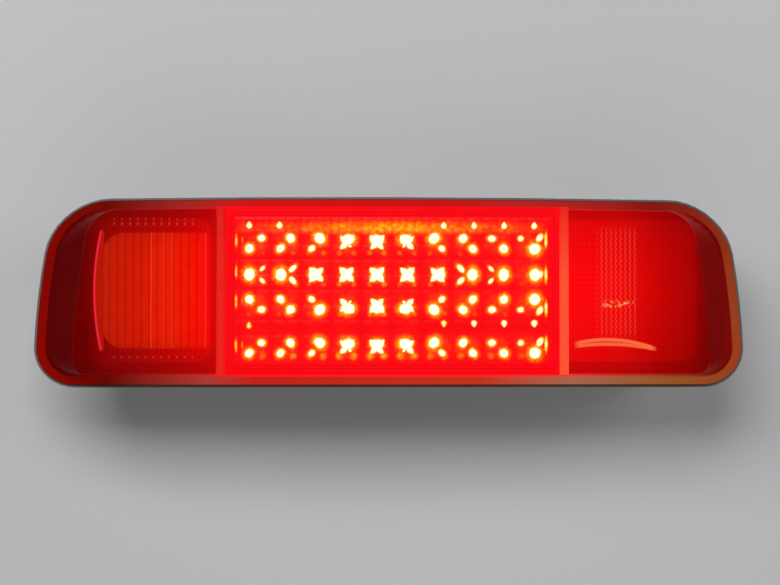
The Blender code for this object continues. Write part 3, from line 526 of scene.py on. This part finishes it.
# %% Join face, walls and flange
FACE_STARTS, FACE_FULL = FACE_DEPTH - 0.0022, FACE_DEPTH - 0.0004
WALL_STARTS, WALL_FULL = FLANGE_DEPTH + 0.0002, FLANGE_DEPTH + 0.0012
on_face = along(tree, depth, FACE_STARTS, FACE_FULL)
on_wall = along(tree, depth, WALL_STARTS, WALL_FULL)
glow = blend_colour(tree, on_wall, flange_glow, wall_glow)
glow = blend_colour(tree, on_face, glow, lit_face)
tree.links.new(glow, shader.inputs["Emission Color"])
shader.inputs["Emission Strength"].default_value = 1.0
flow = add(tree, "ShaderNodeTexNoise", None, Vector=place, Scale=60.0, Detail=2.0)["Fac"]
tone = ramp(tree, flow, [(0.3, (0.045, 0.0004, 0.0004)), (0.7, (0.07, 0.001, 0.001))])
tree.links.new(tone, shader.inputs["Base Color"])
put_on(LENS_RED, "outer_lens")

# %% [markdown]
# ## Centre lens
# The centre lens stands proud of the side lenses and has a stepped frame. It sits right over the
# diodes, so it glows full red all over; only its sides are darker, because they face sideways. The
# way a surface points, its normal, picks that. Three thin darker lines of painted shade follow the
# frame's steps.

# %% Centre lens finish
SIDES_GLOW = [(0.0, (0.42, 0.004, 0.004)), (0.6, (0.60, 0.002, 0.004)), (1.0, (0.62, 0.002, 0.004))]
SIDES_DEPTHS = (0.040, 0.0585)
CENTRE_RED = (0.955, 0.0028, 0.0075, 1.0)
centre_low, centre_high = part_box("centre_lens")
CENTRE, tree, shader, place = new_finish("lit_centre_lens", 0.30, specular=0.03)
shader.inputs["IOR"].default_value = 1.15
normal = add(tree, "ShaderNodeSeparateXYZ", None, Vector=add(tree, "ShaderNodeNewGeometry")["Normal"])
facing = maths(tree, "MULTIPLY", normal["Y"], -1.0)
parts = add(tree, "ShaderNodeSeparateXYZ", None, Vector=place)
depth = maths(tree, "MULTIPLY", parts["Y"], -1.0)
sides = ramp(tree, along(tree, depth, *SIDES_DEPTHS), SIDES_GLOW)
glow = blend_colour(tree, along(tree, facing, 0.3, 0.9), sides, CENTRE_RED)
print("centre lens stands at depth", round(-centre_low.y, 4))

# %% Lines of the frame
FRAME_LINES = ((0.0011, 0.22), (0.0027, 0.30), (0.0041, 0.26))  # distance inside the edge, strength
LINE_HALF, LINE_FADE = 0.00012, 0.00035
STEP_SHADE_RED = (0.48, 0.0010, 0.0020, 1.0)
SIDE_SLOPE = 0.0233
EDGE_ROUND = 0.0008
slanted = maths(tree, "MULTIPLY", parts["Z"], SIDE_SLOPE)
out_x = maths(tree, "ADD", maths(tree, "ABSOLUTE", parts["X"]), slanted)
past_x = maths(tree, "SUBTRACT", out_x, centre_high.x - EDGE_ROUND)
past_z = maths(tree, "SUBTRACT", maths(tree, "ABSOLUTE", parts["Z"]), centre_high.z)
past = maths(tree, "MAXIMUM", past_x, past_z)
# Thin lines of painted shade at the frame's steps.
for inset, strength in FRAME_LINES:
    glow = paint(tree, glow, band(tree, past, -inset, LINE_HALF, LINE_FADE), strength, STEP_SHADE_RED)
tree.links.new(glow, shader.inputs["Emission Color"])
shader.inputs["Emission Strength"].default_value = 1.0
flow = add(tree, "ShaderNodeTexNoise", None, Vector=place, Scale=60.0, Detail=2.0)["Fac"]
tone = ramp(tree, flow, [(0.3, (0.03, 0.0006, 0.0006)), (0.7, (0.05, 0.0012, 0.0012))])
tree.links.new(tone, shader.inputs["Base Color"])
put_on(CENTRE, "centre_lens")

# %% [markdown]
# ## Divider strips
# The two joint strips glow a paler red, painted light for the lit partition edges seen through
# them, and the right one is the paler of the two. Their glow fades a little towards their top ends.

# %% Divider strip finishes
def strip_finish(name, low_colour, high_colour):
    made, tree, shader, place = new_finish(name, 0.28, coat=0.02, specular=0.10)
    parts = add(tree, "ShaderNodeSeparateXYZ", None, Vector=place)
    height = along(tree, parts["Z"], -0.036, 0.036)
    streak = add(tree, "ShaderNodeTexNoise", None, Vector=place, Scale=250.0, Detail=2.0)["Fac"]
    share = maths(tree, "MULTIPLY_ADD", streak, 0.25, maths(tree, "SUBTRACT", height, 0.12))
    tone = ramp(tree, share, [(0.0, low_colour), (0.55, low_colour), (1.0, high_colour)])
    # The strips' paler glow is painted light, from the lit partition edges behind them.
    tree.links.new(tone, shader.inputs["Emission Color"])
    shader.inputs["Emission Strength"].default_value = 1.0
    base = ramp(tree, streak, [(0.3, (0.10, 0.008, 0.006)), (0.7, (0.15, 0.016, 0.012))])
    tree.links.new(base, shader.inputs["Base Color"])
    return made


put_on(strip_finish("strip_left_red", (0.72, 0.007, 0.003), (0.60, 0.002, 0.002)), "divider_strip_left")
put_on(strip_finish("strip_right_red", (0.93, 0.075, 0.028), (0.72, 0.008, 0.005)), "divider_strip_right")

# %% [markdown]
# ## Fluted window
# The left window is a thinner, lighter red piece with upright flutes behind it. Its glow is painted,
# as on the lens. Each flute is a small cylinder lens, so it shows a bright middle and dark edges,
# and the light turns from dull orange at the far end to full red beside the diodes. A few thin
# painted highlights run down it.

# %% Fluted window finish
WINDOW_GLOW = [
    (-0.1240, (0.450, 0.0080, 0.0020)),
    (-0.1194, (0.490, 0.0080, 0.0005)),
    (-0.1087, (0.590, 0.0060, 0.0000)),
    (-0.0979, (0.740, 0.0080, 0.0000)),
    (-0.0871, (0.830, 0.0030, 0.0000)),
    (-0.0794, (0.930, 0.0005, 0.0010)),
]
HIGHLIGHT_LINES = ((-0.1037, 0.24), (-0.0982, 0.15), (-0.0947, 0.18), (-0.0806, 0.24))  # X, strength
HIGHLIGHT_PINK = (0.95, 0.1600, 0.1100, 1.0)
WINDOW_HALF_HEIGHT = 0.0246
window_low, window_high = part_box("fluted_window")
WINDOW, tree, shader, place = new_finish("fluted_window_red", 0.26, specular=0.03)
shader.inputs["IOR"].default_value = 1.12
parts = add(tree, "ShaderNodeSeparateXYZ", None, Vector=place)
x, z = parts["X"], parts["Z"]
ends = (window_low.x, window_high.x)
tone = ramp(tree, along(tree, x, *ends), stops_over(*ends, WINDOW_GLOW))
flute = stripes(tree, x, FLUTE_PITCH)
shade = maths(tree, "MULTIPLY_ADD", maths(tree, "POWER", flute, 6.0), -0.50, 1.04)
height = maths(tree, "DIVIDE", z, WINDOW_HALF_HEIGHT)
towards_edge = maths(tree, "MULTIPLY_ADD", maths(tree, "POWER", height, 4.0), -0.16, 1.0)
lift = maths(tree, "MULTIPLY", shade, towards_edge)
tone = add(tree, "ShaderNodeVectorMath", {"operation": "SCALE"}, i0=tone, Scale=lift)["Vector"]
# Thin painted highlights down a few flutes.
for line_x, strength in HIGHLIGHT_LINES:
    tone = paint(tree, tone, band(tree, x, line_x, 0.0001, 0.0002), strength, HIGHLIGHT_PINK)
tree.links.new(tone, shader.inputs["Emission Color"])
shader.inputs["Emission Strength"].default_value = 1.0
grain = add(tree, "ShaderNodeTexNoise", None, Vector=place, Scale=200.0)["Fac"]
base = ramp(tree, grain, [(0.3, (0.06, 0.003, 0.001)), (0.7, (0.09, 0.006, 0.002))])
tree.links.new(base, shader.inputs["Base Color"])
bump(tree, shader, flute, 0.0004, 0.3)
put_on(WINDOW, "fluted_window")

# %% [markdown]
# ## Reflex pieces
# The reflector at the right and the border at the left are pieces of their own behind the lens.
# They have the same cells, stronger in colour and bump, and are seen only when the lens is hidden.

# %% Reflex pieces behind the face
REFLEX, tree, shader, place = new_finish("reflex_prisms", 0.12, coat=0.3)
parts = add(tree, "ShaderNodeSeparateXYZ", None, Vector=place)
columns, rows = reflex_cells(tree, parts["X"], parts["Z"])
prisms = maths(tree, "ADD", maths(tree, "MULTIPLY", columns, 0.6), maths(tree, "MULTIPLY", rows, 0.4))
tone = ramp(tree, prisms, [(0.2, (0.55, 0.010, 0.006)), (0.8, (0.16, 0.001, 0.001))])
tree.links.new(tone, shader.inputs["Base Color"])
# The cells also glow here, as painted light.
tree.links.new(tone, shader.inputs["Emission Color"])
shader.inputs["Emission Strength"].default_value = 0.8
bump(tree, shader, prisms, 0.0008)
put_on(REFLEX, "reflex_border", "reflex_reflector")

# %% [markdown]
# ## Diode optics
# In front of the diodes the lens carries a sheet of small pillow optics. A diode seen through the
# corner where four pillows meet shows as a four-pointed star. Away from the middle the line of
# sight crosses the sheet at a slant, and the star breaks into separate blobs. The sheet is a fine
# grid with the pillows raised in its points. The light that each point shows is kept as an
# attribute, which the finish turns into colour. It is drawn, with places and sizes listed,
# and isn't worked out from the diodes' solids, so the images don't line up with them exactly.

# %% Add the sheet
def clear_selection():
    for chosen in list(bpy.context.selected_objects):
        chosen.select_set(False)


SHEET_GAP = 0.00002
SHEET_DEPTH = -centre_low.y + SHEET_GAP
SHEET_HALF_WIDTH, SHEET_HALF_HEIGHT = 0.0680, 0.0314
SHEET_STEP = 0.00036
clear_selection()
bpy.ops.mesh.primitive_grid_add(
    x_subdivisions=int(2 * SHEET_HALF_WIDTH / SHEET_STEP),
    y_subdivisions=int(2 * SHEET_HALF_HEIGHT / SHEET_STEP),
    size=2.0,
    location=(0.0, -SHEET_DEPTH, 0.0),
    rotation=(math.radians(90), 0.0, 0.0),
)
optics = bpy.context.active_object
optics.name = "diode_optics"
optics.scale = (SHEET_HALF_WIDTH, SHEET_HALF_HEIGHT, 1.0)
bpy.ops.object.transform_apply(location=True, rotation=True, scale=True)
print("optics sheet has", len(optics.data.vertices), "points")

# %% [markdown]
# The pillows are square and crowned, and each diode's image has two of them across and two up. At
# the border of the sheet they sink to nothing, where it meets the lens's frame.

# %% Raise the pillows
HALF = 0.00324  # half the width of a pillow
MIDDLE_X = -0.0071  # the corner that the columns are counted from
MIDDLE_Z = 0.0067  # the height of the level row
PILLOW_CROWN = 0.00028
BORDER = 0.001
points = np.zeros(len(optics.data.vertices) * 3)
optics.data.vertices.foreach_get("co", points)
points = points.reshape(-1, 3)
point_x, point_z = points[:, 0], points[:, 2]
crown_x = np.abs(np.sin(math.pi * (point_x - MIDDLE_X) / (2 * HALF)))
crown_z = np.abs(np.sin(math.pi * (point_z - MIDDLE_Z) / (2 * HALF)))
to_border = np.minimum(SHEET_HALF_WIDTH - np.abs(point_x), SHEET_HALF_HEIGHT - np.abs(point_z))
rise = np.sqrt(crown_x * crown_z) * PILLOW_CROWN * np.clip(to_border / BORDER, 0, 1)
points[:, 1] -= rise
optics.data.vertices.foreach_set("co", points.ravel())
optics.data.update()
print("pillows stand", round(float(rise.max()) * 1000, 2), "mm proud")

# %% [markdown]
# The light is drawn with two shapes. A petal is what one pillow makes of a diode near its corner:
# it starts at the corner and bulges into the pillow, and four of them make a star. A spot is round
# or stretched, and stands for a petal that has swollen into a blob. Near the middle of the panel
# the images are stars, and further out they are pairs of blobs.

# %% Shapes of light
light = np.zeros(len(points))


def shine(near, far):
    """A bright core with a fainter halo; the brightest wins where several shapes overlap."""
    core = 0.70 * np.exp(-0.5 * (far / 0.84) ** 7)
    halo = 0.30 * np.exp(-0.5 * (far / 1.30) ** 2.4)
    light[near] = np.maximum(light[near], core + halo)


def spot(x, z, radius, stretch=1.0, lean=0.0, strength=1.0):
    """A round spot, or one stretched along a direction that leans away from X."""
    reach = 4 * radius * stretch
    near = (np.abs(point_x - x) < reach) & (np.abs(point_z - z) < reach)
    dx, dz = point_x[near] - x, point_z[near] - z
    along_it = (dx * math.cos(lean) + dz * math.sin(lean)) / stretch
    across_it = dz * math.cos(lean) - dx * math.sin(lean)
    far = np.hypot(along_it, across_it) / radius
    if strength < 1.0:
        light[near] = np.maximum(light[near], strength * np.exp(-0.5 * far**2.4))
    else:
        shine(near, far)


def petal(x, z, side, rising, width):
    """What one pillow makes of a diode behind its corner at x, z."""
    overlap = 0.0004
    near = (side * (point_x - x) >= -overlap) & (rising * (point_z - z) >= -overlap)
    near &= (np.abs(point_x - x) < 2 * HALF) & (np.abs(point_z - z) < 2 * HALF)
    u = 1 - side * (point_x[near] - x) / HALF
    v = 1 - rising * (point_z[near] - z) / HALF
    reach = np.maximum(np.hypot(u, v), 0.001)
    shine(near, np.hypot(u + 0.6 * u / reach - 1, v + 0.6 * v / reach - 1) / width)


print("a petal and a spot are ready to draw with")

# %% [markdown]
# Each row is a height and a shift: 1 or -1 where its images are lopsided, swelling upwards or
# downwards, and 0 where they are level. Places and sizes are in halves of a pillow. Outside the
# middle columns they change evenly with the number of columns from the middle.

# %% Draw the diodes' images
ROWS = ((0.0200, 1), (MIDDLE_Z, 0), (-0.0060, -1), (-0.0247, 1))
COLUMNS = range(-4, 6)
COLUMN_PITCH = 4 * HALF
# Values for 2, 3, 4 and 5 columns from the middle
LEVEL_PLACE = (0.60, 0.66, 0.80, 0.95)
INNER_PLACE, INNER_SIZE = (0.45, 0.60, 0.78, 0.95), (0.62, 0.50, 0.40, 0.30)
OUTER_PLACE, OUTER_SIZE = (0.60, 0.70, 0.80, 0.90), (0.34, 0.44, 0.50, 0.70)


def size_at(away, values):
    """A length that goes evenly through the given values from 2 to 5 columns out."""
    return HALF * float(np.interp(away, (2, 3, 4, 5), values))


def level_image(x, z, out, away):
    if away < 3:
        for rising in (-1, 1):
            petal(x, z, out, rising, 0.71)
            petal(x, z, -out, rising, 0.69 - 0.05 * away)
        spot(x + out * HALF * 0.26 * away, z, HALF * (0.42 + 0.03 * away))
        return
    spot(x + out * size_at(away, LEVEL_PLACE), z, HALF * 0.66, 1.15, math.pi / 2)
    if away < 5:
        for rising in (-1, 1):
            lean = -rising * out * math.pi / 4
            arm_size = HALF * (0.56 - 0.09 * away)
            spot(x - out * HALF * 0.9, z + rising * HALF * 0.8, arm_size, 1.9, lean)


def lopsided_star(x, z, out, away, shift):
    corner = z + shift * HALF * 0.12
    petal(x, corner, -out, shift, 0.80)
    petal(x, corner, out, shift, 0.80 - 0.26 * away)
    petal(x, corner, out, -shift, 0.52)
    petal(x, corner, -out, -shift, 0.52 - 0.30 * away)
    core_z = corner + shift * HALF * 0.44
    spot(x - out * HALF * 0.24 * away, core_z, HALF * (0.56 + 0.08 * away), 1.2)


def pair_of_blobs(x, z, out, away, shift):
    lean = -out * shift * math.pi / 4
    inner_x, outer_x = x - out * size_at(away, INNER_PLACE), x + out * size_at(away, OUTER_PLACE)
    inner_z, outer_z = z + shift * HALF * 0.70, z - shift * HALF * 0.66
    spot(inner_x, inner_z, size_at(away, INNER_SIZE), 1.15, -lean if away < 4 else 0.0)
    spot(outer_x, outer_z, size_at(away, OUTER_SIZE), 1.5 - 0.1 * away, lean)


def dim_light(x, z, away):
    """The faint glow round an image and two weak patches below it."""
    spot(x, z, HALF * 1.6, strength=0.085)
    for side in (-1, 1):
        patch_strength = 0.17 - 0.02 * away
        spot(x + side * HALF * 0.95, z - HALF * 1.25, HALF * 0.34, strength=patch_strength)


for z, shift in ROWS:
    for column in COLUMNS:
        out, away = (1 if column > 0 else -1), abs(column)
        x = MIDDLE_X + column * COLUMN_PITCH
        if shift == 0:
            level_image(x, z, out, away)
        elif away < 2:
            lopsided_star(x, z, out, away, shift)
        else:
            pair_of_blobs(x, z, out, away, shift)
        dim_light(x, z, away)
print("light from 0 to", round(float(light.max()), 2))

# %% [markdown]
# Stray light also shows: an orange strip under the top edge, weaker patches along the bottom, small
# triangles above and below the outer columns, and slivers at the two ends.

# %% Add the stray light
TOP_STRIP_Z, TOP_TRIANGLE_Z = 0.0268, 0.0276
LOW_PATCH_Z, LOW_TRIANGLE_Z = -0.0280, -0.0140
LAST_TRIANGLE_X, LAST_TRIANGLE_Z = MIDDLE_X - 16.85 * HALF, -0.0152
UPRIGHT = math.pi / 2


def triangle(x, z, strength, tip):
    """A small spot with a smaller one on top, or below when tip is -1."""
    spot(x, z, HALF * 0.26, strength=strength)
    spot(x, z + tip * HALF * 0.28, HALF * 0.14, 1.2, UPRIGHT, strength)


for column in COLUMNS:
    x, away = MIDDLE_X + column * COLUMN_PITCH, abs(column)
    for nudge in (-1.5, -0.5, 0.5, 1.5):
        strip_strength = 0.22 - 0.028 * abs(column - 0.5)
        spot(x + nudge * HALF, TOP_STRIP_Z, HALF * 0.78, strength=strip_strength)
    for nudge in (-0.9, 0.9):
        spot(x + nudge * HALF, LOW_PATCH_Z, HALF * 0.46, strength=0.22 - 0.018 * away)
    triangle_x = x + math.copysign(HALF * 0.85, column)
    if away > 1 and column != -2:
        triangle(triangle_x, TOP_TRIANGLE_Z, 0.80, 1)
    if column > 1:
        triangle(triangle_x, LOW_TRIANGLE_Z, 0.30 + 0.13 * away, -1)
triangle(LAST_TRIANGLE_X, LAST_TRIANGLE_Z, 0.40, 1)
LEFT_SLIVERS_X, RIGHT_SLIVERS_X = (-0.0672, -0.0646), (0.0655, 0.0628)
for z, shift in ROWS:
    spot(LEFT_SLIVERS_X[0], z + 0.0012, HALF * 0.14, 5.0, UPRIGHT, 0.30)
    spot(LEFT_SLIVERS_X[1], z + 0.0012, HALF * 0.12, 4.0, UPRIGHT, 0.18)
    spot(RIGHT_SLIVERS_X[0], z + 0.0016 * shift, HALF * 0.16, 5.0, UPRIGHT, 0.45)
    spot(RIGHT_SLIVERS_X[1], z + 0.0026 * shift, HALF * 0.28, 1.6, math.pi / 3, 0.75)
attribute = optics.data.attributes.new("shown_light", "FLOAT", "POINT")
attribute.data.foreach_set("value", light.astype(np.float32))
print("points brighter than half:", int((light > 0.5).sum()))

# %% [markdown]
# The finish reads that attribute. Weak light is red, then orange, yellow and white, as a strong
# light looks through red plastic to an eye or a camera that it dazzles.

# %% Optics finish
DAZZLE = [
    (0.00, (0.90, 0.0020, 0.0055)),
    (0.05, (0.96, 0.0060, 0.0060)),
    (0.10, (0.96, 0.0450, 0.0060)),
    (0.17, (0.96, 0.2000, 0.0040)),
    (0.25, (1.00, 0.5500, 0.0100)),
    (0.36, (1.00, 0.9000, 0.1800)),
    (0.53, (1.15, 1.1500, 0.9000)),
]
OPTICS, tree, shader, place = new_finish("diode_optics_red", 0.25, specular=0.05)
shown = add(tree, "ShaderNodeAttribute", {"attribute_name": "shown_light"})["Fac"]
ripple = add(tree, "ShaderNodeTexNoise", None, Vector=place, Scale=520.0, Detail=2.0)["Fac"]
broad = add(tree, "ShaderNodeTexNoise", None, Vector=place, Scale=110.0, Detail=1.0)["Fac"]
shown = maths(tree, "MULTIPLY", shown, maths(tree, "MULTIPLY_ADD", ripple, 1.30, 0.35))
shown = maths(tree, "ADD", shown, maths(tree, "MULTIPLY_ADD", broad, 0.08, -0.04))
tone = ramp(tree, shown, DAZZLE)
tree.links.new(tone, shader.inputs["Emission Color"])
shader.inputs["Emission Strength"].default_value = 1.0
flow = ramp(tree, broad, [(0.3, (0.06, 0.0006, 0.0006)), (0.7, (0.09, 0.0012, 0.0012))])
tree.links.new(flow, shader.inputs["Base Color"])
optics.data.materials.append(OPTICS)
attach(optics, "lamp")
print("optics finished")

# %% [markdown]
# ## Studio
# The lamp lies against a plain pale surface, with another one as a floor well below it. Large soft
# lights above and at the sides give soft shadows and long quiet highlights on the polished edges.
# The surface behind the lamp can be seen through from behind and lets the rear light pass, so that
# the back can be looked at.

# %% Floor and backdrop
def stage_plane(name, size, location, rotation, see_through):
    clear_selection()
    bpy.ops.mesh.primitive_plane_add(size=size, location=location, rotation=rotation)
    plane = bpy.context.active_object
    plane.name = name
    made, tree, shader, place = new_finish(name + "_paper", 0.9, specular=0.1)
    cloud = add(tree, "ShaderNodeTexNoise", None, Vector=place, Scale=3.0)["Fac"]
    tone = ramp(tree, cloud, [(0.3, (0.60, 0.60, 0.605)), (0.7, (0.63, 0.63, 0.635))])
    tree.links.new(tone, shader.inputs["Base Color"])
    if see_through:
        behind = add(tree, "ShaderNodeNewGeometry")["Backfacing"]
        shadow_ray = add(tree, "ShaderNodeLightPath")["Is Shadow Ray"]
        behind = maths(tree, "MAXIMUM", behind, shadow_ray)
        clear = tree.nodes.new("ShaderNodeBsdfTransparent")
        mix = tree.nodes.new("ShaderNodeMixShader")
        tree.links.new(behind, mix.inputs[0])
        tree.links.new(shader.outputs[0], mix.inputs[1])
        tree.links.new(clear.outputs[0], mix.inputs[2])
        tree.links.new(mix.outputs[0], tree.nodes["Material Output"].inputs["Surface"])
    plane.data.materials.append(made)


BACKDROP_Y = 0.0192
FLOOR_Z = -0.45
stage_plane("backdrop", 2.4, (0.0, BACKDROP_Y, 0.6), (math.radians(90), 0.0, 0.0), True)
stage_plane("floor", 6.0, (0.0, 0.0, FLOOR_Z), (0.0, 0.0, 0.0), False)
print("stage is set")

# %% Lights
def soft_light(name, location, aim, size, power):
    data = bpy.data.lights.new(name, "AREA")
    data.shape = "RECTANGLE"
    data.size, data.size_y = size
    data.energy = power
    made = bpy.data.objects.new(name, data)
    bpy.context.scene.collection.objects.link(made)
    made.location = location
    made.rotation_euler = (Vector(location) - Vector(aim)).to_track_quat("Z", "Y").to_euler()


soft_light("key", (-0.30, -1.00, 0.50), (0.0, 0.0, 0.02), (0.90, 0.45), 9.5)
soft_light("fill", (0.85, -0.70, 0.30), (0.0, 0.0, 0.0), (0.5, 0.5), 2.0)
soft_light("rear", (0.25, 1.0, 0.45), (0.0, 0.0, 0.0), (0.8, 0.6), 12.0)
WORLD_GREY = (0.75, 0.77, 0.80, 1.0)
WORLD_STRENGTH = 0.07
world = bpy.data.worlds.new("studio")
bpy.context.scene.world = world
world.use_nodes = True
world.node_tree.nodes["Background"].inputs["Color"].default_value = WORLD_GREY
world.node_tree.nodes["Background"].inputs["Strength"].default_value = WORLD_STRENGTH
print("lights are set")
